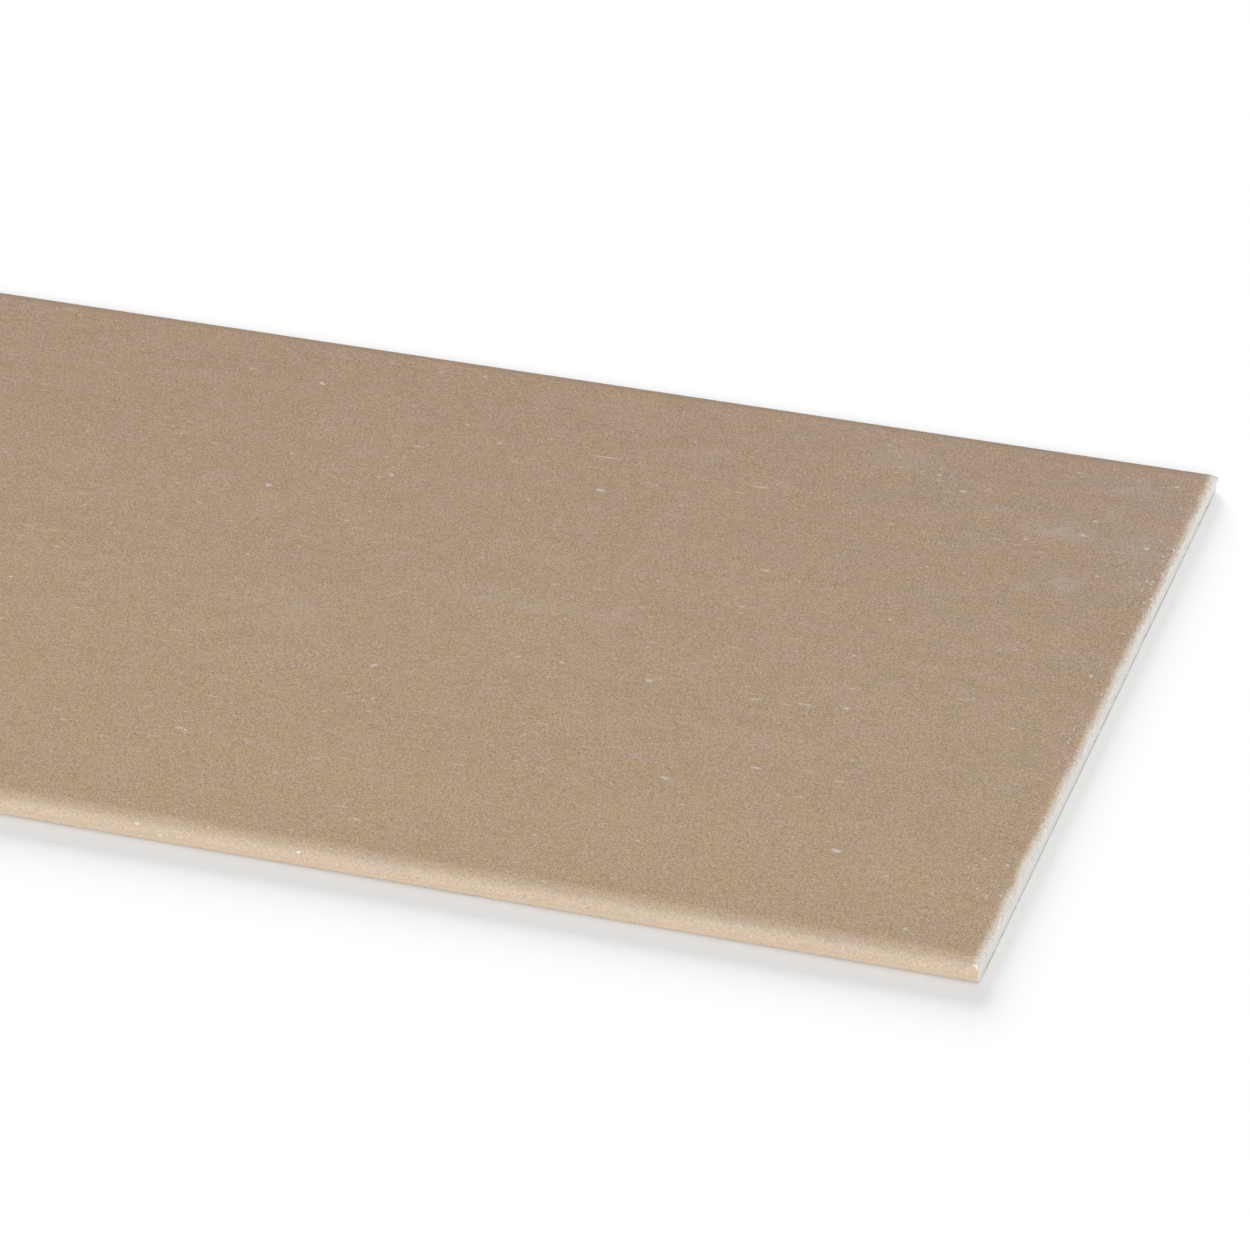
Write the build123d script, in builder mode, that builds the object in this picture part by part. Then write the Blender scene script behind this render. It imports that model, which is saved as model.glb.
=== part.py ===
"""Drywall sheet: a plaster baseboard with half-round long edges, lying face up.

Millimetres. +X runs along the sheet, +Y across it and +Z up out of the face.
The origin is the centre of the underside, where the back paper meets the floor.
"""

import os
from math import cos, radians

from build123d import *

# Driving dimensions of the board
sheet_length = 2000.0
sheet_width = 400.0
sheet_thickness = 9.5
paper_thickness = 0.35

# Rounded long edge: a wide shoulder arc turns down from the face, a nose arc runs on
# to the outermost point at nose_height, and a tighter heel arc turns under
shoulder_radius = 16.0
shoulder_angle = 22.0
nose_height = 3.3

# The face paper's laps and the back paper's edges, measured in from the long edges
face_lap = 25.0
back_paper_inset = 12.0

# Broken arris along the top of each cut end
arris_run = 3.5
arris_drop = 3.0

# The back paper lies on the floor and the laps lie on it
lap_underside = paper_thickness
lap_topside = 2 * paper_thickness
heel_radius = nose_height - lap_underside
shoulder_drop = shoulder_radius * (1 - cos(radians(shoulder_angle)))
nose_radius = (sheet_thickness - nose_height - shoulder_drop) / cos(radians(shoulder_angle))


def long_edge(depth):
    """Draw the round of the +Y long edge, this deep under the outer surface.

    The arcs keep their centres at every depth, so the paper and the core meet face to
    face all the way round. The ends are the foot, on the underside, and the brow, on
    the face.
    """
    heel = JernArc(
        start=(sheet_width / 2 - heel_radius, lap_underside + depth),
        tangent=(1, 0),
        radius=heel_radius - depth,
        arc_size=90,
    )
    nose = JernArc(
        start=heel @ 1,
        tangent=heel % 1,
        radius=nose_radius - depth,
        arc_size=90 - shoulder_angle,
    )
    shoulder = JernArc(
        start=nose @ 1,
        tangent=nose % 1,
        radius=shoulder_radius - depth,
        arc_size=shoulder_angle,
    )
    return heel @ 0, shoulder @ 1


# Wedges that the broken arrises take off both cut ends
with BuildSketch(Plane.XZ) as arris_wedges:
    with BuildLine():
        Polyline(
            (sheet_length / 2 - arris_run, sheet_thickness),
            (sheet_length / 2, sheet_thickness - arris_drop),
            (sheet_length / 2, sheet_thickness),
            close=True,
        )
    make_face()
    mirror(about=Plane.YZ)

# White gypsum core, hollowed along the laps by one thickness of paper
with BuildPart() as gypsum_core:
    with BuildSketch(Plane.YZ):
        with BuildLine():
            core_foot, core_brow = long_edge(paper_thickness)
            Line(core_brow, (0, sheet_thickness - paper_thickness))
            Polyline(
                core_foot,
                (sheet_width / 2 - face_lap, lap_topside),
                (sheet_width / 2 - face_lap, paper_thickness),
                (0, paper_thickness),
            )
            mirror(about=Plane.YZ)
        make_face()
    extrude(amount=sheet_length / 2, both=True)
    extrude(arris_wedges.sketch, amount=sheet_width / 2, both=True, mode=Mode.SUBTRACT)
gypsum_core.part.label = "gypsum_core"

# Brown face paper, wrapped round both long edges and lapped onto the underside
with BuildPart() as face_paper:
    with BuildSketch(Plane.YZ):
        with BuildLine():
            outer_foot, outer_brow = long_edge(0)
            Line(outer_brow, (0, sheet_thickness))
            inner_foot, inner_brow = long_edge(paper_thickness)
            Line(inner_brow, (0, sheet_thickness - paper_thickness))
            Polyline(
                outer_foot,
                (sheet_width / 2 - face_lap, lap_underside),
                (sheet_width / 2 - face_lap, lap_topside),
                inner_foot,
            )
            mirror(about=Plane.YZ)
        make_face()
    extrude(amount=sheet_length / 2, both=True)
    extrude(arris_wedges.sketch, amount=sheet_width / 2, both=True, mode=Mode.SUBTRACT)
face_paper.part.label = "face_paper"

# Back paper, glued over the core and over the laps of the face paper
with BuildPart() as back_paper:
    with BuildSketch():
        Rectangle(sheet_length, sheet_width - 2 * back_paper_inset)
    extrude(amount=paper_thickness)
back_paper.part.label = "back_paper"

os.makedirs("parts", exist_ok=True)
export_step(gypsum_core.part, "parts/gypsum_core.step")
export_step(face_paper.part, "parts/face_paper.step")
export_step(back_paper.part, "parts/back_paper.step")
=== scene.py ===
"""Drywall sheet: gypsum board with brown face paper, rounded long edges and sawn ends.

Laid out as an add-on. Sizes and colours are properties, each step of the build has its own
operator, and main() runs them in order. Places are metres in the model's frame: +X along the
board towards the sawn end in view, +Y across it and +Z up out of the face.
"""

import random
from math import atan2, copysign, cos, exp, pi, radians, sin, sqrt

import bmesh
import bpy
from bpy.props import FloatProperty, FloatVectorProperty, IntProperty, PointerProperty
from mathutils import Euler, Matrix, Vector, noise


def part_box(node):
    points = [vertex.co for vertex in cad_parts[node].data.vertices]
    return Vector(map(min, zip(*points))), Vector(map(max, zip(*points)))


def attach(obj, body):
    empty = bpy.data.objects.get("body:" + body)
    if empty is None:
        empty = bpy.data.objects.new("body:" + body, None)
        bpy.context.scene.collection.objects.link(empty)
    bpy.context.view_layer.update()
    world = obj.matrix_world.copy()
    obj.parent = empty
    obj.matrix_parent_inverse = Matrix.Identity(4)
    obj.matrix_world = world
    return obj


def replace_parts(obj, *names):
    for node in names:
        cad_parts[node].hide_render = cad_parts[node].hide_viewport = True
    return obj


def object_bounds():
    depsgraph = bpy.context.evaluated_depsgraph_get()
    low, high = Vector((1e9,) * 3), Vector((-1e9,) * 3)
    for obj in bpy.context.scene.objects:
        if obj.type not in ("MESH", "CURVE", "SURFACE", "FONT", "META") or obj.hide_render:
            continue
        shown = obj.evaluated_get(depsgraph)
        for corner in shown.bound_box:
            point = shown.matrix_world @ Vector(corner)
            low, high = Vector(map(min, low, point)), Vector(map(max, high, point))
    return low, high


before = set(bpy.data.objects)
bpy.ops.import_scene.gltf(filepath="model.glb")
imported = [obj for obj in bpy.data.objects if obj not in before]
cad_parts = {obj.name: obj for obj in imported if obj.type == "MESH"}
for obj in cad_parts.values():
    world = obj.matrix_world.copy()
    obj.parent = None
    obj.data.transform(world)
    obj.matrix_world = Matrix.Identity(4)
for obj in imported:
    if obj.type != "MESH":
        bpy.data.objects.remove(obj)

bl_info = {
    "name": "Drywall Sheet",
    "version": (1, 0, 0),
    "blender": (4, 5, 0),
    "location": "View3D > Sidebar > Drywall",
    "description": "Builds a paper-faced gypsum board with dusty paper and sawn ends",
    "category": "Add Mesh",
}

MM = 0.001

# The board's box, and each paper's place in it, from the parts in model.glb
BOX_LOW, BOX_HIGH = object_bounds()
HALF_LENGTH = BOX_HIGH[0]
HALF_WIDTH = BOX_HIGH[1]
THICKNESS = BOX_HIGH[2]
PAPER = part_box("face_paper")[1][2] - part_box("gypsum_core")[1][2]
BACK_HALF_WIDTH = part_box("back_paper")[1][1]

# The long edge's arcs, as the solids have them
SHOULDER_RADIUS = 16.0 * MM
SHOULDER_ANGLE = radians(22.0)
NOSE_HEIGHT = 3.3 * MM
HEEL_RADIUS = NOSE_HEIGHT - PAPER
SHOULDER_DROP = SHOULDER_RADIUS * (1 - cos(SHOULDER_ANGLE))
NOSE_RADIUS = (THICKNESS - NOSE_HEIGHT - SHOULDER_DROP) / cos(SHOULDER_ANGLE)
HEEL_CENTRE = (HALF_WIDTH - HEEL_RADIUS, NOSE_HEIGHT)
NOSE_CENTRE = (HALF_WIDTH - NOSE_RADIUS, NOSE_HEIGHT)
SHOULDER_CENTRE = (
    NOSE_CENTRE[0] - (SHOULDER_RADIUS - NOSE_RADIUS) * sin(SHOULDER_ANGLE),
    THICKNESS - SHOULDER_RADIUS,
)
FACE_LAP = 25.0 * MM

# The worn arris along the top of both sawn ends, and how softly it starts
ARRIS_RUN = 3.5 * MM
ARRIS_DROP = 3.0 * MM
ARRIS_EASE = 0.6 * MM
ARRIS_TOP = THICKNESS - ARRIS_DROP

# How thinly the worn paper lies over the arris, how far above the arris's lowest line it
# counts as face, and how far its rim stops short
FILM = 0.05 * MM
FACE_START = 0.3 * ARRIS_DROP
RIM_SETBACK = 0.35 * MM

# How far in from the sawn end the rim's waves, its torn look and the core's pits reach,
# the length over which the wear fades, and how deep and how far in the rim dips
RIM_REACH = 16 * MM
TEAR_REACH = 0.4 * MM
PIT_REACH = 5 * MM
WEAR_FADE = 3.4 * MM
RIM_DIP = 0.12 * MM
DIP_REACH = 0.6 * MM

# The far corner in view: how much lower it is worn, how far along the end that reaches,
# and how far its paper stands out past the core
CORNER_DROP = 1.2 * MM
CORNER_REACH = 6 * MM
BURR = 0.6 * MM

# How far in from the sawn end each row of the swept meshes lies, out to mid length
END_ROWS = [distance * MM for distance in (0.5, 1, 1.5, 2, 2.5, 3, 3.5, 4, 5, 7, 10, 16, 30)]
MID_ROWS = [HALF_LENGTH * share for share in (0.15, 0.3, 0.45, 0.6, 0.75, 0.9, 1.0)]
ROWS = END_ROWS + MID_ROWS

# Cells of the core's end and of the back paper, and steps of the face paper's line round
# its heel, nose and shoulder, over half the face and across a lap
CORE_CELLS = (620, 13)
BACK_CELLS = (24, 320)
HEEL_STEPS = 12
NOSE_STEPS = 12
SHOULDER_STEPS = 8
FACE_STEPS = 300
LAP_STEPS = 8

# How near two vertices lie to be joined, in general and at the tips of the core's section
JOIN = 0.01 * MM
TIP_JOIN = 0.002 * MM

# Millimetres in from the sawn end where the loose fibres start, their thickness in
# millimetres, and how far from the middle fibres and crumbs lie
FIBRE_BAND = (1.0, 4.6)
FIBRE_THICKNESS = (0.05, 0.11)
SCATTER_HALF_WIDTH = HALF_WIDTH - 5 * MM
FIBRE_SEED = 11
CRUMB_SEED = 23

# The photograph's camera: where its axis meets the face, and how it looks there
CAMERA_AIM = (HALF_LENGTH - 202.4 * MM, 0.0, THICKNESS)
CAMERA_AZIMUTH = radians(17.45)
CAMERA_ELEVATION = radians(30.66)
CAMERA_DISTANCE = 2.6635
CAMERA_LENS = 187.2
CAMERA_SENSOR = 36.0
CAMERA_CLIP = (0.05, 100.0)

# Dust smudges that show on the face: millimetres in from the sawn end and across from
# the middle, then length, width, turn in degrees and strength
SMUDGES = (
    (54, 128, 52, 28, 4, 1.0),
    (80, 138, 28, 18, 20, 0.6),
    (33, 150, 16, 16, 0, 0.6),
    (37, 86, 26, 24, 30, 0.8),
    (54, 79, 16, 16, 0, 0.6),
    (12, 92, 30, 22, 0, 0.7),
    (56, 176, 26, 20, 0, 0.45),
    (132, 170, 46, 34, 0, 0.6),
    (87, 113, 16, 16, 0, 0.5),
    (28, 172, 70, 36, 0, 0.45),
    (14, 128, 28, 70, 0, 0.6),
    (134, 172, 160, 60, 0, 0.2),
    (212, 148, 34, 26, 20, 0.5),
    (252, 170, 64, 40, -10, 0.5),
    (252, 4, 150, 22, 0, 0.6),
    (440, 150, 44, 22, 0, 0.5),
    (335, -30, 64, 48, -40, 0.5),
)

# The brightest pale flecks in the paper, placed the same way
FLECKS = (
    (33, -184, 3.2, 2.0, 70, 1.0),
    (99, 149, 4, 3.0, 0, 0.7),
    (13, 125, 4, 3.2, 0, 0.8),
    (13, 180, 4, 3.2, 30, 0.6),
    (121, 113, 4, 3.0, 0, 0.5),
    (41, 128, 6, 2.4, -20, 0.7),
    (39, 141, 5, 2.4, -20, 0.6),
    (73, -139, 6, 3.0, -10, 1.0),
    (246, 104, 6, 3.0, 0, 0.9),
    (152, -108, 6, 2.6, -12, 0.8),
    (120, -90, 8, 2.4, -8, 0.7),
    (382, 66, 5, 3.0, -20, 0.8),
    (391, 158, 5, 2.8, -45, 0.8),
    (180, -39, 5, 3.0, -20, 0.7),
    (290, -61, 5, 3.2, 60, 0.6),
    (160, 60, 6, 2.6, -6, 0.6),
    (98, -36, 4, 3.0, 30, 0.7),
    (348, -130, 7, 2.2, 0, 0.6),
    (335, 90, 4, 3.0, -40, 0.7),
    (86, -90, 6, 2.6, 20, 0.5),
    (258, -173, 6, 2.2, -10, 0.6),
    (236, -37, 4, 2.8, 40, 0.6),
    (218, -36, 5, 2.4, -20, 0.6),
    (181, 127, 16, 2.2, 2, 0.5),
    (252, 132, 22, 2.2, 2, 0.5),
    (114, -38, 12, 2.0, -6, 0.5),
    (135, -40, 8, 2.0, 8, 0.5),
    (266, -166, 8, 2.2, -4, 0.5),
)

# The light of the surroundings, the key sun and the sun that lights the floor alone
SKY = 0.5
KEY_STRENGTH = 3.3
KEY_FROM = (0.25, -0.9, 0.5)
KEY_ANGLE = radians(26)
SKIM_STRENGTH = 6.2
SKIM_FROM = (-0.45, 0.88, 0.215)
SKIM_ANGLE = radians(34)
FLOOR_ALBEDO = 0.73
FLOOR_HALF_SIZE = 30.0


def paint(red, green, blue):
    """The linear colour that shows as these 8-bit screen values."""
    return tuple(
        c / 12.92 if c <= 0.04045 else ((c + 0.055) / 1.055) ** 2.4
        for c in (red / 255, green / 255, blue / 255)
    )


def between(low, high, share):
    return low + (high - low) * share


def clamp(value):
    return max(0.0, min(1.0, value))


class DrywallSizes(bpy.types.PropertyGroup):
    ragged_depth: FloatProperty(
        name="Ragged depth", description="How far the sawn paper edge wanders in and out",
        default=0.6 * MM, unit="LENGTH",
    )
    crumble_depth: FloatProperty(
        name="Crumble depth", description="How deep the sawn gypsum is pitted",
        default=0.16 * MM, unit="LENGTH",
    )
    wear_reach: FloatProperty(
        name="Wear reach", description="How far in from the sawn end the paper is worn pale",
        default=3.25 * MM, unit="LENGTH",
    )
    fibre_length: FloatProperty(
        name="Fibre length", description="Usual length of a loose paper fibre",
        default=1.1 * MM, unit="LENGTH",
    )
    fibre_count: IntProperty(
        name="Fibres", description="Loose paper fibres along each sawn edge", default=1000,
    )
    crumb_size: FloatProperty(
        name="Crumb size", description="Usual radius of a gypsum crumb",
        default=0.13 * MM, unit="LENGTH",
    )
    crumb_count: IntProperty(
        name="Crumbs", description="Gypsum crumbs along each sawn edge", default=30,
    )


class DrywallColours(bpy.types.PropertyGroup):
    kraft: FloatVectorProperty(
        name="Face paper", description="Brown of the face paper",
        default=paint(173, 150, 119), subtype="COLOR", min=0, max=1,
    )
    # Partly the paper's own duller tone and partly painted shade towards the far side
    kraft_far_and_shade: FloatVectorProperty(
        name="Far face paper and shade", description="Duller brown of the paper's far side",
        default=paint(165, 140, 114), subtype="COLOR", min=0, max=1,
    )
    # Partly rubbed paper and partly a painted sheen on the rounded long edges
    kraft_rubbed_and_sheen: FloatVectorProperty(
        name="Rubbed edge and sheen", description="Greyer brown of the rubbed long edges and their painted sheen",
        default=paint(173, 156, 139), subtype="COLOR", min=0, max=1,
    )
    torn_ply: FloatVectorProperty(
        name="Torn ply", description="Pale inner ply that shows where the paper is torn",
        default=paint(212, 209, 203), subtype="COLOR", min=0, max=1,
    )
    film: FloatVectorProperty(
        name="Pinkish film", description="Pinkish cast that patches of the face paper take",
        default=paint(186, 156, 162), subtype="COLOR", min=0, max=1,
    )
    soiled: FloatVectorProperty(
        name="Handled corner", description="Greyer cast of the face paper by the sawn end",
        default=paint(150, 144, 136), subtype="COLOR", min=0, max=1,
    )
    dust: FloatVectorProperty(
        name="Dust", description="Gypsum dust rubbed into the paper",
        default=paint(190, 181, 171), subtype="COLOR", min=0, max=1,
    )
    gypsum: FloatVectorProperty(
        name="Gypsum", description="Off-white of the sawn core",
        default=paint(225, 223, 218), subtype="COLOR", min=0, max=1,
    )
    back: FloatVectorProperty(
        name="Back paper", description="Grey-brown of the back paper",
        default=paint(150, 138, 124), subtype="COLOR", min=0, max=1,
    )
    speck: FloatVectorProperty(
        name="Dark specks", description="Bark specks in the face paper",
        default=paint(96, 78, 60), subtype="COLOR", min=0, max=1,
    )
    pale_fibre: FloatVectorProperty(
        name="Pale fibres", description="Pale fibres in the back paper",
        default=paint(205, 198, 188), subtype="COLOR", min=0, max=1,
    )
    dark_fibre: FloatVectorProperty(
        name="Dark fibres", description="Dark fibres in the back paper",
        default=paint(88, 80, 72), subtype="COLOR", min=0, max=1,
    )
    pore_shade: FloatVectorProperty(
        name="Pores", description="Shaded pores of the sawn core",
        default=paint(176, 172, 164), subtype="COLOR", min=0, max=1,
    )
    warm_fleck: FloatVectorProperty(
        name="Warm flecks", description="Warm flecks in the core",
        default=paint(196, 176, 150), subtype="COLOR", min=0, max=1,
    )


class Nodes:
    """Shorthand for building a node tree."""

    def __init__(self, tree):
        self.tree = tree

    def node(self, kind, **settings):
        node = self.tree.nodes.new(kind)
        for name, value in settings.items():
            setattr(node, name, value)
        return node

    def feed(self, socket, value):
        """Link a socket to this output, or set it to this number or colour."""
        if isinstance(value, bpy.types.NodeSocket):
            self.tree.links.new(value, socket)
        elif socket.type == "RGBA":
            socket.default_value = (*value, 1.0)
        else:
            socket.default_value = value

    def calc(self, operation, *values):
        """One Math operation, taken over the values from left to right."""
        result = values[0]
        for value in values[1:]:
            node = self.node("ShaderNodeMath", operation=operation)
            self.feed(node.inputs[0], result)
            self.feed(node.inputs[1], value)
            result = node.outputs["Value"]
        return result

    def add(self, *values):
        return self.calc("ADD", *values)

    def times(self, *values):
        return self.calc("MULTIPLY", *values)

    def most(self, *values):
        return self.calc("MAXIMUM", *values)

    def magnitude(self, value):
        node = self.node("ShaderNodeMath", operation="ABSOLUTE")
        self.feed(node.inputs[0], value)
        return node.outputs["Value"]

    def seen_directly(self):
        """1 for camera rays and for what gloss and glass show, 0 for the rest."""
        rays = self.node("ShaderNodeLightPath").outputs
        return self.most(
            rays["Is Camera Ray"], rays["Is Glossy Ray"], rays["Is Transmission Ray"]
        )


class Finish(Nodes):
    """A material's nodes. Every pattern reads Object coordinates, in metres."""

    def __init__(self, name, roughness, specular=0.3):
        self.material = bpy.data.materials.new(name)
        self.material.use_nodes = True
        super().__init__(self.material.node_tree)
        self.shader = self.tree.nodes["Principled BSDF"]
        self.shader.inputs["Roughness"].default_value = roughness
        self.shader.inputs["Specular IOR Level"].default_value = specular
        self.place = self.node("ShaderNodeTexCoord").outputs["Object"]
        split = self.node("ShaderNodeSeparateXYZ")
        self.feed(split.inputs["Vector"], self.place)
        self.x, self.y, self.z = split.outputs

    def remap(self, value, low, high, to_low=0.0, to_high=1.0, smooth=False):
        """value taken from low..high to to_low..to_high, and held there."""
        node = self.node("ShaderNodeMapRange", clamp=True)
        node.interpolation_type = "SMOOTHSTEP" if smooth else "LINEAR"
        for name, entry in zip(
            ("Value", "From Min", "From Max", "To Min", "To Max"),
            (value, low, high, to_low, to_high),
        ):
            self.feed(node.inputs[name], entry)
        return node.outputs["Result"]

    def stretched(self, scale):
        node = self.node("ShaderNodeMapping")
        self.feed(node.inputs["Vector"], self.place)
        self.feed(node.inputs["Scale"], scale)
        return node.outputs["Vector"]

    def cloud(self, scale, detail=2.0):
        """Soft noise from 0 to 1, with this many features per metre along each axis."""
        node = self.node("ShaderNodeTexNoise")
        self.feed(node.inputs["Vector"], self.stretched(scale))
        self.feed(node.inputs["Scale"], 1.0)
        self.feed(node.inputs["Detail"], detail)
        return node.outputs["Fac"]

    def layer(self, scale, strength, detail=2.0):
        """Soft noise either side of zero, to about this strength."""
        return self.times(self.add(self.cloud(scale, detail), -0.5), 4 * strength)

    def flecks(self, scale, share, size):
        """1 in small spots, at most one in each cell, in this share of the cells."""
        node = self.node("ShaderNodeTexVoronoi")
        self.feed(node.inputs["Vector"], self.stretched(scale))
        self.feed(node.inputs["Scale"], 1.0)
        pick = self.node("ShaderNodeSeparateColor")
        self.feed(pick.inputs["Color"], node.outputs["Color"])
        kept = self.calc("LESS_THAN", pick.outputs["Red"], share)
        reach = self.remap(pick.outputs["Green"], 0, 1, 0.4 * size, size)
        nearness = self.calc("DIVIDE", node.outputs["Distance"], reach)
        return self.times(kept, self.remap(nearness, 1.0, 0.4, smooth=True))

    def blobs(self, places):
        """The highest of some soft ellipses on the face, each as high as its strength."""
        highest = 0.0
        for inward, side, length, width, turn, strength in places:
            node = self.node("ShaderNodeMapping", vector_type="TEXTURE")
            self.feed(node.inputs["Vector"], self.place)
            self.feed(node.inputs["Location"], (HALF_LENGTH - inward * MM, side * MM, THICKNESS))
            self.feed(node.inputs["Rotation"], (0.0, 0.0, radians(turn)))
            self.feed(node.inputs["Scale"], (length * MM / 2, width * MM / 2, 1.0))
            fall = self.node("ShaderNodeTexGradient", gradient_type="SPHERICAL")
            self.feed(fall.inputs["Vector"], node.outputs["Vector"])
            highest = self.most(highest, self.times(fall.outputs["Fac"], strength))
        return highest

    def mix(self, share, first, second):
        node = self.node("ShaderNodeMix", data_type="RGBA")
        self.feed(node.inputs["Factor"], share)
        self.feed(node.inputs[6], first)
        self.feed(node.inputs[7], second)
        return node.outputs[2]

    def scaled(self, colour, factor):
        node = self.node("ShaderNodeVectorMath", operation="SCALE")
        self.feed(node.inputs["Vector"], colour)
        self.feed(node.inputs["Scale"], factor)
        return node.outputs["Vector"]

    def bumps(self, height, distance):
        node = self.node("ShaderNodeBump")
        self.feed(node.inputs["Height"], height)
        self.feed(node.inputs["Distance"], distance)
        self.feed(self.shader.inputs["Normal"], node.outputs["Normal"])

    def done(self, colour, roughness):
        self.feed(self.shader.inputs["Base Color"], colour)
        self.feed(self.shader.inputs["Roughness"], roughness)
        return self.material


def kraft_brown(paper, colours):
    """Face paper brown: grain, mill bands, duller far off, greyer where handled; painted shade
    and light.
    """
    tone = paper.add(
        1.0,
        paper.layer((1.1, 18, 18), 0.016, 2),
        paper.layer((30, 60, 60), 0.024, 3),
        paper.layer((160, 330, 330), 0.03, 2),
        paper.layer((500, 850, 850), 0.055, 1),
        paper.layer((1800, 1400, 1400), 0.27, 0),
    )
    # The brown dulls from the near side to the far side, a little aslant: partly the paper's own
    # tone and partly painted shade
    across = paper.remap(paper.add(paper.y, paper.times(paper.x, 0.05)), -160 * MM, 240 * MM)
    brown = paper.mix(across, colours.kraft, colours.kraft_far_and_shade)
    # Handling has soiled the far corner most, in patches
    handled = paper.times(
        paper.remap(paper.x, HALF_LENGTH - 300 * MM, HALF_LENGTH, 0.25, 1),
        paper.remap(paper.y, -150 * MM, 150 * MM, 0.4, 1),
        paper.remap(paper.cloud((45, 70, 70), 4), 0.4, 0.62, 0.08, 0.3, smooth=True),
    )
    brown = paper.mix(handled, brown, colours.soiled)
    # A thin pinkish film lies in patches, and picks out single fibres
    film = paper.add(
        paper.remap(paper.cloud((60, 110, 110), 4), 0.4, 0.65, 0, 0.16),
        paper.layer((900, 1200, 1200), 0.1, 0),
    )
    brown = paper.scaled(paper.mix(film, brown, colours.film), tone)
    # Both long edges are rubbed greyer and paler, partly real wear and partly a painted sheen on
    # their rounds, and their grain is fainter
    side = paper.magnitude(paper.y)
    rubbed = paper.remap(side, HALF_WIDTH - 9 * MM, HALF_WIDTH - 1 * MM, 0, 0.8, smooth=True)
    fainter = paper.add(paper.times(tone, 0.4), 0.6)
    brown = paper.mix(rubbed, brown, paper.scaled(colours.kraft_rubbed_and_sheen, fainter))
    # Painted light makes the paper paler under the heels, where it lies in shade, and along the
    # far rim
    heel = paper.remap(paper.z, 0.5 * NOSE_HEIGHT, 1.1 * NOSE_HEIGHT, 1.28, 1)
    far_rim_light = paper.remap(paper.y, HALF_WIDTH - 5 * MM, HALF_WIDTH - 2 * MM, 1, 1.1)
    return paper.scaled(brown, paper.times(heel, far_rim_light))


def kraft_marks(paper, colours, brown):
    """Dust smudges, pale and dark flecks, and grit by the sawn end, over this brown."""
    patchy = paper.remap(paper.cloud((150, 220, 220), 3), 0.3, 0.65, 0.15, 1)
    smudge = paper.remap(paper.blobs(SMUDGES), 0.0, 0.9, 0, 0.31, smooth=True)
    colour = paper.mix(paper.times(smudge, patchy), brown, colours.dust)
    clusters = paper.remap(paper.cloud((22, 30, 30), 2), 0.42, 0.6, 0.1, 1)
    pale = paper.most(
        paper.flecks((330, 620, 620), 0.008, 0.42),
        paper.times(paper.flecks((620, 850, 850), 0.012, 0.42), 0.6),
        paper.times(paper.flecks((90, 650, 650), 0.08, 0.4), clusters, 0.5),
        paper.times(paper.flecks((200, 420, 420), 0.09, 0.4), clusters, 0.45),
        paper.remap(paper.blobs(FLECKS), 0.1, 0.5, 0, 0.75),
    )
    near_end = paper.remap(paper.x, HALF_LENGTH - 40 * MM, HALF_LENGTH, smooth=True)
    grit = paper.times(paper.flecks((420, 480, 480), 0.2, 0.5), near_end, clusters)
    colour = paper.mix(paper.times(paper.most(pale, grit), 0.8), colour, colours.torn_ply)
    dark = paper.flecks((300, 380, 380), 0.004, 0.35)
    return paper.mix(paper.times(dark, 0.35), colour, colours.speck)


def kraft_finish(colours):
    """Brown kraft liner: felted fibres, mill bands, rubbed-in dust and a worn rim."""
    paper = Finish("kraft_face_paper", 0.8)
    colour = kraft_marks(paper, colours, kraft_brown(paper, colours))

    fray = paper.node("ShaderNodeAttribute", attribute_name="fray").outputs["Fac"]
    tufts = paper.add(paper.cloud((650, 1150, 1150), 3), -0.5)
    patchy = paper.times(tufts, paper.remap(fray, 0, 0.2, 0, 1.4))
    torn = paper.remap(paper.add(fray, patchy), 0.1, 0.85)
    ply_tone = paper.add(
        1.0, paper.layer((300, 300, 300), 0.03, 2), paper.layer((1000, 1000, 1000), 0.06, 0)
    )
    colour = paper.mix(torn, colour, paper.scaled(colours.torn_ply, ply_tone))

    felt = paper.add(
        paper.cloud((420, 1000, 1000), 2), paper.times(fray, paper.cloud((800, 1500, 1500), 1))
    )
    paper.bumps(felt, 0.05 * MM)
    rough = paper.remap(paper.cloud((60, 200, 200), 1), 0.3, 0.7, 0.74, 0.86)
    return paper.done(colour, rough)


def back_finish(colours):
    """Grey-brown recycled liner: darker, with a coarser mix of pale and dark fibres."""
    paper = Finish("grey_back_paper", 0.86)
    tone = paper.add(
        1.0,
        paper.layer((1.3, 16, 16), 0.03, 3),
        paper.layer((20, 70, 70), 0.04, 3),
        paper.layer((220, 900, 900), 0.08, 2),
        paper.layer((1300, 1500, 1500), 0.1, 1),
    )
    colour = paper.scaled(colours.back, tone)
    pale = paper.flecks((180, 520, 520), 0.08, 0.3)
    colour = paper.mix(paper.times(pale, 0.45), colour, colours.pale_fibre)
    dark = paper.flecks((240, 480, 480), 0.05, 0.3)
    colour = paper.mix(paper.times(dark, 0.4), colour, colours.dark_fibre)
    paper.bumps(paper.cloud((260, 1200, 1200), 3), 0.06 * MM)
    rough = paper.remap(paper.cloud((60, 180, 180), 2), 0.3, 0.7, 0.8, 0.92)
    return paper.done(colour, rough)


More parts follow.
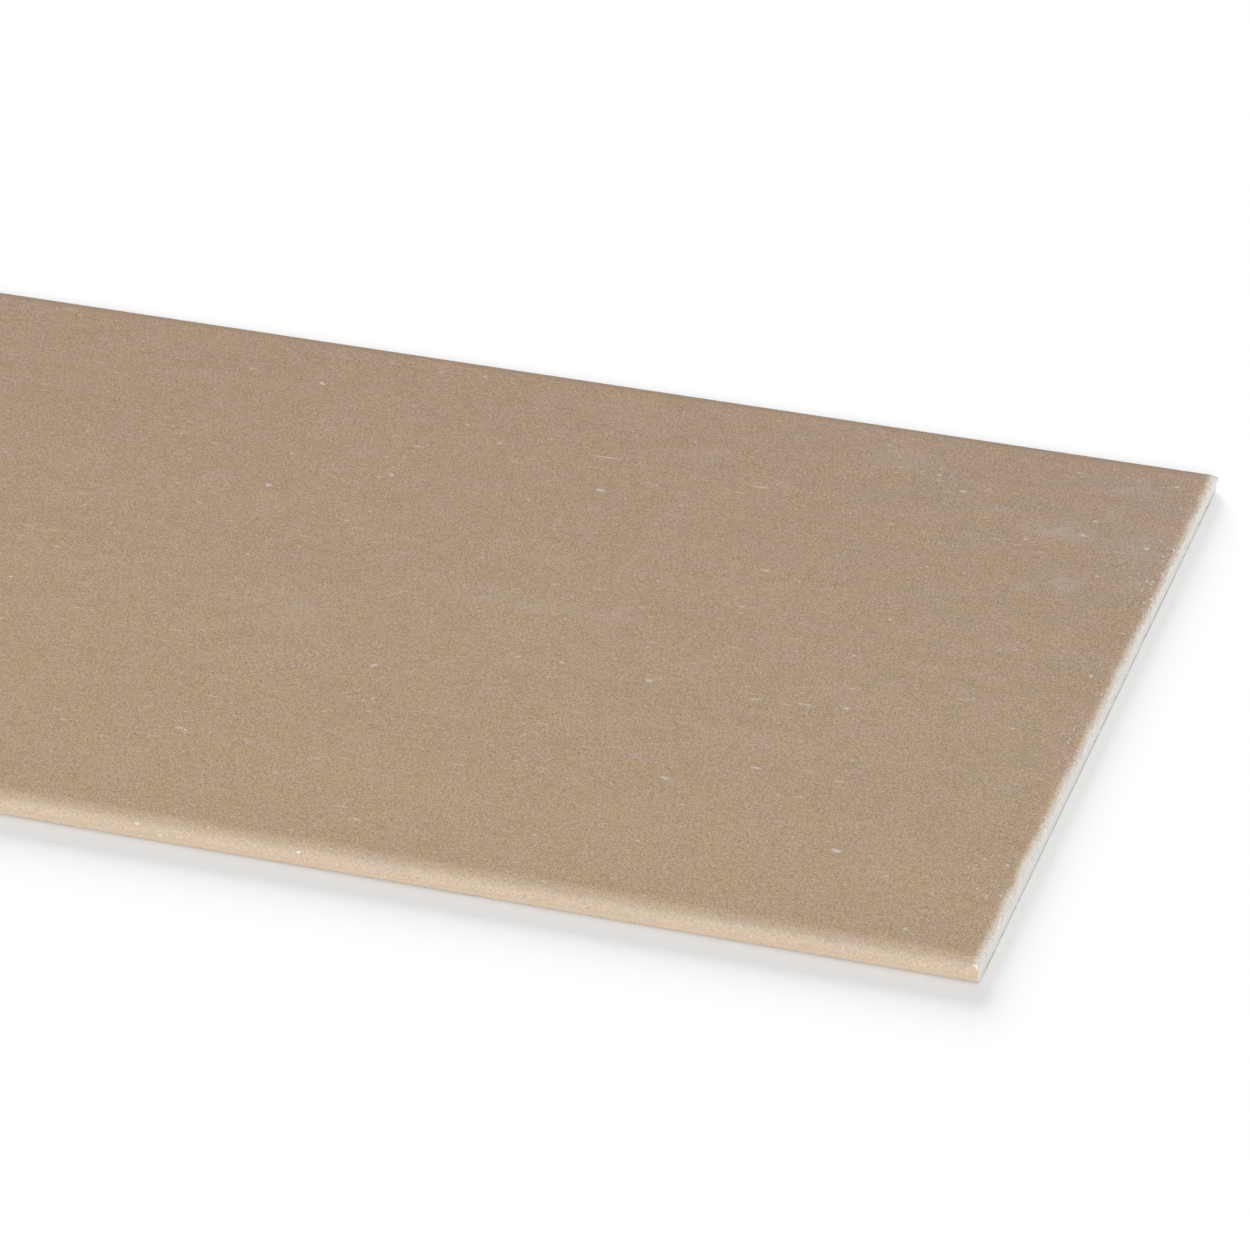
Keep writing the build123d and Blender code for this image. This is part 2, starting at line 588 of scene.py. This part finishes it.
def gypsum_finish(colours):
    """Sawn gypsum: chalky off-white, finely pored, with painted shade in the pores and warm
    flecks.
    """
    chalk = Finish("sawn_gypsum", 0.93)
    tone = chalk.add(
        1.0,
        chalk.layer((60, 60, 60), 0.015, 3),
        chalk.layer((420, 420, 420), 0.04, 3),
        chalk.layer((1500, 1500, 1500), 0.08, 1),
    )
    colour = chalk.scaled(colours.gypsum, tone)
    # Painted shade darkens the pores
    pores = chalk.flecks((900, 900, 900), 0.12, 0.42)
    colour = chalk.mix(chalk.times(pores, 0.35), colour, colours.pore_shade)
    warm = chalk.flecks((260, 260, 260), 0.05, 0.3)
    colour = chalk.mix(chalk.times(warm, 0.25), colour, colours.warm_fleck)
    worn = chalk.remap(chalk.z, ARRIS_TOP - 0.4 * MM, ARRIS_TOP + 0.4 * MM, smooth=True)
    colour = chalk.mix(worn, colour, chalk.scaled(colours.torn_ply, tone))
    relief = chalk.add(
        chalk.cloud((700, 700, 700), 3), chalk.times(pores, -0.8), chalk.cloud((180, 180, 180), 2)
    )
    chalk.bumps(relief, 0.08 * MM)
    rough = chalk.remap(chalk.cloud((300, 300, 300), 2), 0.3, 0.7, 0.88, 0.98)
    return chalk.done(colour, rough)


def fibre_finish(colours):
    """Pale torn fibres, some still brown from the face."""
    fibre = Finish("torn_fibre", 0.9)
    brown = fibre.remap(fibre.cloud((180, 260, 260), 2), 0.4, 0.62, 0.1, 0.9)
    colour = fibre.mix(brown, colours.torn_ply, colours.kraft)
    fibre.bumps(fibre.cloud((2000, 4000, 4000), 1), 0.02 * MM)
    rough = fibre.remap(fibre.cloud((400, 400, 400), 1), 0.3, 0.7, 0.84, 0.94)
    return fibre.done(colour, rough)


def new_object(name, bm, finish):
    """Put a finished bmesh in the scene."""
    mesh = bpy.data.meshes.new(name)
    bm.to_mesh(mesh)
    bm.free()
    mesh.materials.append(finish)
    piece = bpy.data.objects.new(name, mesh)
    bpy.context.scene.collection.objects.link(piece)
    return piece


def new_piece(name, bm, finish):
    """Put a finished bmesh in the scene as a piece of the board."""
    piece = new_object(name, bm, finish)
    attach(piece, "root")
    return piece


def extend_line(bm, start, reach, steps):
    """Carry a line on from its last vertex to this place, in equal steps."""
    first = start.co.copy()
    for step in range(steps):
        start = bmesh.ops.extrude_vert_indiv(bm, verts=[start])["verts"][0]
        start.co = first.lerp(Vector(reach), (step + 1) / steps)


def sweep_to_middle(bm, edges):
    """Extrude edges from the +X end through each row to mid length, then mirror them."""
    for distance in ROWS:
        swept = bmesh.ops.extrude_edge_only(bm, edges=edges)["geom"]
        fresh = {item for item in swept if isinstance(item, bmesh.types.BMVert)}
        for vertex in fresh:
            vertex.co.x = HALF_LENGTH - distance
        edges = [
            item for item in swept
            if isinstance(item, bmesh.types.BMEdge) and fresh.issuperset(item.verts)
        ]
    whole = bm.verts[:] + bm.edges[:] + bm.faces[:]
    bmesh.ops.mirror(bm, geom=whole, axis="X", merge_dist=JOIN)


def far_corner(x, y):
    """1 at the far corner in view, which is worn lower, falling to 0 away from it."""
    return exp(-(((HALF_WIDTH - y) / CORNER_REACH) ** 2)) if x > 0 and y > 0 else 0.0


def arris_top(x, y):
    """Height of the worn arris at this place on the board."""
    past = abs(x) - (HALF_LENGTH - ARRIS_RUN)
    eased = (past + sqrt(past**2 + ARRIS_EASE**2)) / 2
    drop = ARRIS_DROP + CORNER_DROP * far_corner(x, y)
    return THICKNESS - drop * eased / ARRIS_RUN


def section_top(y, depth):
    """Height of the board's upper surface, this deep under the outside of the paper."""
    y = abs(y)
    centre, radius = SHOULDER_CENTRE, SHOULDER_RADIUS - depth
    if y <= centre[0]:
        return THICKNESS - depth
    if y > centre[0] + radius * sin(SHOULDER_ANGLE):
        centre, radius = NOSE_CENTRE, NOSE_RADIUS - depth
    return centre[1] + sqrt(max(0.0, radius**2 - (y - centre[0]) ** 2))


def section_bottom(y, depth):
    """Height of the core's underside, with the step up over the face paper's laps."""
    y = abs(y)
    if y <= HALF_WIDTH - FACE_LAP:
        return depth
    if y <= HEEL_CENTRE[0]:
        return PAPER + depth
    return NOSE_HEIGHT - sqrt(max(0.0, (HEEL_RADIUS - depth) ** 2 - (y - HEEL_CENTRE[0]) ** 2))


def wander(x, y, size):
    """Smooth noise from -1 to 1 along a sawn end, with features of about this size.

    x only sets the two ends apart.
    """
    return noise.noise(Vector((3.7 * x, y / size, 0.5)))


def face_share(z):
    """0 up to the lowest line of the worn arris, rising to 1 on the face."""
    return clamp((z - ARRIS_TOP) / FACE_START)


def rim_setback(x, y, z, ragged):
    """How far in from the sawn end the face paper stops, at this place in its section."""
    high = face_share(z)
    tears = max(0.0, wander(x, y + 7, 9 * MM) - 0.35)
    rough = wander(x, y, 4 * MM) + 0.8 * wander(x, y + 3, 1.8 * MM) + 0.6 * wander(x, y, 0.8 * MM)
    setback = between(0.1 * MM, RIM_SETBACK, high) + ragged * rough * between(0.3, 1, high)
    setback = max(0.0, setback) + 3 * ragged * tears * high
    return setback - BURR * far_corner(x, y) ** 6


def build_core(sizes, finish):
    """Gypsum core: a gridded end, swept along the board, with worn arrises and pits."""
    bm = bmesh.new()
    across, upward = CORE_CELLS
    grid = bmesh.ops.create_grid(bm, x_segments=across, y_segments=upward, size=1.0)
    half_width = HALF_WIDTH - PAPER
    for vertex in grid["verts"]:
        y = half_width * sin(vertex.co.x * pi / 2)
        share = (vertex.co.y + 1) / 2
        z = between(section_bottom(y, PAPER), section_top(y, PAPER), share)
        vertex.co = (HALF_LENGTH, y, z)
    bmesh.ops.remove_doubles(bm, verts=bm.verts[:], dist=TIP_JOIN)
    sweep_to_middle(bm, [edge for edge in bm.edges if edge.is_boundary])

    for vertex in bm.verts:
        x, y, z = vertex.co
        bottom = section_bottom(y, PAPER)
        top = section_top(y, PAPER)
        slope = arris_top(x, y) - FILM + 0.06 * MM * wander(x, y, 2 * MM)
        if top - bottom > JOIN and slope < top:
            z = between(bottom, slope, (z - bottom) / (top - bottom))
        inward = HALF_LENGTH - abs(x)
        if inward < PIT_REACH:
            spot = Vector((x, y, z))
            pits = abs(noise.noise(spot / (1.3 * MM))) + 0.6 * abs(noise.noise(spot / (0.6 * MM)))
            chips = max(0.0, noise.noise(spot / (3 * MM)) - 0.4) * 4
            cut = sizes.crumble_depth * (pits + chips) * (1 - inward / PIT_REACH)
            x -= copysign(cut, x)
        vertex.co = (x, y, z)
    bmesh.ops.recalc_face_normals(bm, faces=bm.faces[:])
    for face in bm.faces:
        face.smooth = True
    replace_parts(new_piece("core", bm, finish), "gypsum_core")


def build_face_paper(sizes, finish):
    """Face paper: its line round the section, swept along the board and thickened."""
    bm = bmesh.new()
    fray = bm.verts.layers.float.new("fray")
    foot = bm.verts.new((HALF_LENGTH, HEEL_CENTRE[0], PAPER))
    last = foot
    for centre, angle, steps in (
        (HEEL_CENTRE, pi / 2, HEEL_STEPS),
        (NOSE_CENTRE, pi / 2 - SHOULDER_ANGLE, NOSE_STEPS),
        (SHOULDER_CENTRE, SHOULDER_ANGLE, SHOULDER_STEPS),
    ):
        turned = bmesh.ops.spin(
            bm, geom=[last], cent=(HALF_LENGTH, *centre), axis=(1, 0, 0), angle=angle, steps=steps
        )
        last = next(item for item in turned["geom_last"] if isinstance(item, bmesh.types.BMVert))
    extend_line(bm, last, (HALF_LENGTH, 0.0, THICKNESS), FACE_STEPS)
    extend_line(bm, foot, (HALF_LENGTH, HALF_WIDTH - FACE_LAP, PAPER), LAP_STEPS)
    line = bm.verts[:] + bm.edges[:]
    bmesh.ops.mirror(bm, geom=line, axis="Y", merge_dist=JOIN)
    sweep_to_middle(bm, bm.edges[:])

    for vertex in bm.verts:
        x, y, z = vertex.co
        inward = HALF_LENGTH - abs(x)
        past_rim = inward
        if inward < RIM_REACH:
            setback = rim_setback(x, y, z, sizes.ragged_depth)
            inward += setback * (1 - inward / RIM_REACH) ** 2
            x = copysign(HALF_LENGTH - inward, x)
        # Only the rim itself is torn on the rounds, and the wear reaches further on the face
        high = face_share(z)
        wear = sizes.wear_reach + 0.8 * MM * wander(x, y, 14 * MM) - 2.5 * MM * y
        wear += 1.2 * MM * far_corner(x, y) ** 0.15
        torn = exp(-max(0.0, inward) / TEAR_REACH) * between(0.4, 0.9, far_corner(x, y))
        vertex[fray] = between(torn, clamp((wear - inward) / WEAR_FADE), high)
        dip = RIM_DIP * exp(-past_rim / DIP_REACH)
        z = min(z, arris_top(x, y) + FILM - dip) if high > 0 else z
        vertex.co = (x, y, z)
    bmesh.ops.recalc_face_normals(bm, faces=bm.faces[:])
    bmesh.ops.solidify(bm, geom=bm.faces[:], thickness=PAPER)
    bmesh.ops.recalc_face_normals(bm, faces=bm.faces[:])
    for face in bm.faces:
        face.smooth = True
    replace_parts(new_piece("face_liner", bm, finish), "face_paper")


def build_back_paper(finish):
    """Back paper: one flat sheet with slightly uneven sawn ends."""
    bm = bmesh.new()
    along, across = BACK_CELLS
    grid = bmesh.ops.create_grid(bm, x_segments=along, y_segments=across, size=1.0)
    for vertex in grid["verts"]:
        x = HALF_LENGTH * vertex.co.x
        y = BACK_HALF_WIDTH * vertex.co.y
        if abs(vertex.co.x) > 0.99:
            cut = 0.25 * MM * abs(wander(x, y, 2.5 * MM))
            x -= copysign(cut, x)
        vertex.co = (x, y, 0.0)
    bmesh.ops.solidify(bm, geom=bm.faces[:], thickness=-PAPER)
    bmesh.ops.recalc_face_normals(bm, faces=bm.faces[:])
    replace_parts(new_piece("back_liner", bm, finish), "back_paper")


def fibre_shapes():
    """A few bent, tapered paper fibres, one unit long along +X."""
    shapes = []
    for index, bend in enumerate((0.05, -0.16, 0.28, -0.3)):
        bm = bmesh.new()
        bmesh.ops.create_cone(
            bm, cap_ends=True, segments=4, radius1=0.5, radius2=0.2, depth=1.0,
            matrix=Matrix.Rotation(pi / 2, 4, "Y"),
        )
        long_edges = [e for e in bm.edges if abs(e.verts[0].co.x - e.verts[1].co.x) > 0.5]
        bmesh.ops.subdivide_edges(bm, edges=long_edges, cuts=2)
        for vertex in bm.verts:
            along = vertex.co.x + 0.5
            vertex.co.x = along
            vertex.co.y += bend * 6 * along**2
            vertex.co.z += abs(bend) * 2 * along * (1 - along)
        shapes.append(bpy.data.meshes.new(f"fibre_shape_{index}"))
        bm.to_mesh(shapes[-1])
        bm.free()
    return shapes


def crumb_shapes():
    """A few lumpy gypsum crumbs of about unit radius."""
    shapes = []
    for index in range(4):
        bm = bmesh.new()
        bmesh.ops.create_icosphere(bm, subdivisions=2, radius=1.0)
        for vertex in bm.verts:
            vertex.co *= 1 + 0.6 * noise.noise(1.3 * vertex.co + Vector((9 * index, 0, 0)))
        shapes.append(bpy.data.meshes.new(f"crumb_shape_{index}"))
        bm.to_mesh(shapes[-1])
        bm.free()
    return shapes


def scatter(shapes, places):
    """One bmesh of copies: each place is a matrix, and the shapes take turns."""
    bm = bmesh.new()
    for index, matrix in enumerate(places):
        copy = shapes[index % len(shapes)].copy()
        copy.transform(matrix)
        bm.from_mesh(copy)
        bpy.data.meshes.remove(copy)
    for shape in shapes:
        bpy.data.meshes.remove(shape)
    return bm


def surface_height(x, y):
    """Height of the worn paper's surface at this place."""
    return min(section_top(y, 0.0), arris_top(x, y) + FILM)


def build_fibres(sizes, finish):
    """Loose fibres that the saw raised along the face paper's two sawn edges."""
    rng = random.Random(FIBRE_SEED)
    slope = atan2(ARRIS_DROP, ARRIS_RUN)
    places = []
    for end in (1, -1):
        for _ in range(sizes.fibre_count):
            y = rng.uniform(-1, 1) * SCATTER_HALF_WIDTH
            inward = rng.uniform(*FIBRE_BAND) * MM
            x = end * (HALF_LENGTH - inward)
            outward = rng.random() < 0.65
            on_slope = clamp((4.4 * MM - inward) / (1.2 * MM))
            fall = slope * on_slope - rng.uniform(0.02, 0.1)
            tilt = fall if outward else -rng.uniform(0.02, 0.08)
            yaw = rng.gauss(0, 0.5) + (0 if (end > 0) == outward else pi)
            length = sizes.fibre_length * rng.lognormvariate(0, 0.45)
            thick = rng.uniform(*FIBRE_THICKNESS) * MM
            places.append(Matrix.LocRotScale(
                Vector((x, y, surface_height(x, y))),
                Euler((0, tilt, yaw)),
                Vector((length, thick, thick)),
            ))
    bm = scatter(fibre_shapes(), places)
    new_piece("paper_fringe", bm, finish)


def build_crumbs(sizes, finish):
    """Gypsum crumbs and grains of dust along both sawn edges."""
    rng = random.Random(CRUMB_SEED)
    places = []
    for end in (1, -1):
        for _ in range(sizes.crumb_count):
            y = rng.uniform(-1, 1) * SCATTER_HALF_WIDTH
            inward = rng.expovariate(1 / (4 * MM)) + 0.4 * MM
            x = end * (HALF_LENGTH - min(inward, 40 * MM))
            size = sizes.crumb_size * rng.lognormvariate(0, 0.4)
            turn = Euler([rng.uniform(0, 2 * pi) for _ in range(3)]).to_matrix().to_4x4()
            flat = Matrix.Diagonal((size * rng.uniform(1, 1.8), size, 0.6 * size, 1))
            spin = Matrix.Rotation(rng.uniform(0, 2 * pi), 4, "Z")
            spot = Matrix.Translation((x, y, surface_height(x, y) + 0.2 * size))
            places.append(spot @ spin @ flat @ turn)
    bm = scatter(crumb_shapes(), places)
    new_piece("gypsum_crumbs", bm, finish)


def build_floor():
    """White studio floor, which keeps the board's soft shadow."""
    bm = bmesh.new()
    bmesh.ops.create_grid(bm, x_segments=1, y_segments=1, size=FLOOR_HALF_SIZE)
    white = Finish("white_floor", 1.0, 0.0)
    white.feed(white.shader.inputs["Base Color"], (FLOOR_ALBEDO, FLOOR_ALBEDO, FLOOR_ALBEDO))
    floor = new_object("floor", bm, white.material)
    return floor


def build_sky():
    """Even white surroundings, which look brighter than they light."""
    world = bpy.data.worlds.new("studio")
    bpy.context.scene.world = world
    world.use_nodes = True
    sky = Nodes(world.node_tree)
    background = world.node_tree.nodes["Background"]
    sky.feed(background.inputs["Color"], (1.0, 1.0, 1.0))
    strength = sky.add(sky.times(sky.seen_directly(), 1.0 - SKY), SKY)
    sky.feed(background.inputs["Strength"], strength)


def build_sun(name, strength, source, angle):
    """A sun whose light comes from this direction, softened by its angle."""
    lamp = bpy.data.lights.new(name, "SUN")
    lamp.energy = strength
    lamp.angle = angle
    holder = bpy.data.objects.new(name, lamp)
    holder.rotation_euler = Vector(source).to_track_quat("Z", "Y").to_euler()
    bpy.context.scene.collection.objects.link(holder)
    return holder


def build_camera():
    """The photograph's camera: a long lens, looking down on the face from the front."""
    lens = bpy.data.cameras.new("camera")
    lens.lens = CAMERA_LENS
    lens.sensor_width = CAMERA_SENSOR
    lens.sensor_fit = "HORIZONTAL"
    lens.clip_start, lens.clip_end = CAMERA_CLIP
    camera = bpy.data.objects.new("camera", lens)
    back = Vector((
        sin(CAMERA_AZIMUTH) * cos(CAMERA_ELEVATION),
        -cos(CAMERA_AZIMUTH) * cos(CAMERA_ELEVATION),
        sin(CAMERA_ELEVATION),
    ))
    camera.location = Vector(CAMERA_AIM) + CAMERA_DISTANCE * back
    camera.rotation_euler = back.to_track_quat("Z", "Y").to_euler()
    bpy.context.scene.collection.objects.link(camera)
    bpy.context.scene.camera = camera


class DRYWALL_OT_core(bpy.types.Operator):
    """Build the gypsum core with its sawn ends"""

    bl_idname = "drywall.core"
    bl_label = "Gypsum Core"

    def execute(self, context):
        scene = context.scene
        build_core(scene.drywall_sizes, gypsum_finish(scene.drywall_colours))
        return {"FINISHED"}


class DRYWALL_OT_papers(bpy.types.Operator):
    """Build the face paper, wrapped round both long edges, and the back paper"""

    bl_idname = "drywall.papers"
    bl_label = "Face and Back Paper"

    def execute(self, context):
        scene = context.scene
        build_face_paper(scene.drywall_sizes, kraft_finish(scene.drywall_colours))
        build_back_paper(back_finish(scene.drywall_colours))
        return {"FINISHED"}


class DRYWALL_OT_fringe(bpy.types.Operator):
    """Scatter loose paper fibres and gypsum crumbs along the sawn edges"""

    bl_idname = "drywall.fringe"
    bl_label = "Fibres and Crumbs"

    def execute(self, context):
        scene = context.scene
        build_fibres(scene.drywall_sizes, fibre_finish(scene.drywall_colours))
        build_crumbs(scene.drywall_sizes, bpy.data.materials["sawn_gypsum"])
        return {"FINISHED"}


class DRYWALL_OT_stage(bpy.types.Operator):
    """Set up the floor, the lights and the camera"""

    bl_idname = "drywall.stage"
    bl_label = "Stage"

    def execute(self, context):
        context.scene.view_settings.view_transform = "Standard"
        floor = build_floor()
        build_sky()
        build_sun("key", KEY_STRENGTH, KEY_FROM, KEY_ANGLE)
        skim = build_sun("skim", SKIM_STRENGTH, SKIM_FROM, SKIM_ANGLE)
        skimmed = bpy.data.collections.new("skimmed")
        skimmed.objects.link(floor)
        skim.light_linking.receiver_collection = skimmed
        build_camera()
        return {"FINISHED"}


class DRYWALL_PT_panel(bpy.types.Panel):
    """The board's steps, sizes and colours"""

    bl_idname = "DRYWALL_PT_panel"
    bl_label = "Drywall Sheet"
    bl_space_type = "VIEW_3D"
    bl_region_type = "UI"
    bl_category = "Drywall"

    def draw(self, context):
        for step in STEPS:
            self.layout.operator(step.bl_idname)
        for group in (context.scene.drywall_sizes, context.scene.drywall_colours):
            for name in group.__annotations__:
                self.layout.prop(group, name)


STEPS = (DRYWALL_OT_core, DRYWALL_OT_papers, DRYWALL_OT_fringe, DRYWALL_OT_stage)
CLASSES = (DrywallSizes, DrywallColours, *STEPS, DRYWALL_PT_panel)


def register():
    for cls in CLASSES:
        bpy.utils.register_class(cls)
    bpy.types.Scene.drywall_sizes = PointerProperty(type=DrywallSizes)
    bpy.types.Scene.drywall_colours = PointerProperty(type=DrywallColours)


def unregister():
    del bpy.types.Scene.drywall_colours
    del bpy.types.Scene.drywall_sizes
    for cls in reversed(CLASSES):
        bpy.utils.unregister_class(cls)


def main():
    register()
    bpy.ops.drywall.core()
    bpy.ops.drywall.papers()
    bpy.ops.drywall.fringe()
    bpy.ops.drywall.stage()


if __name__ == "__main__":
    main()
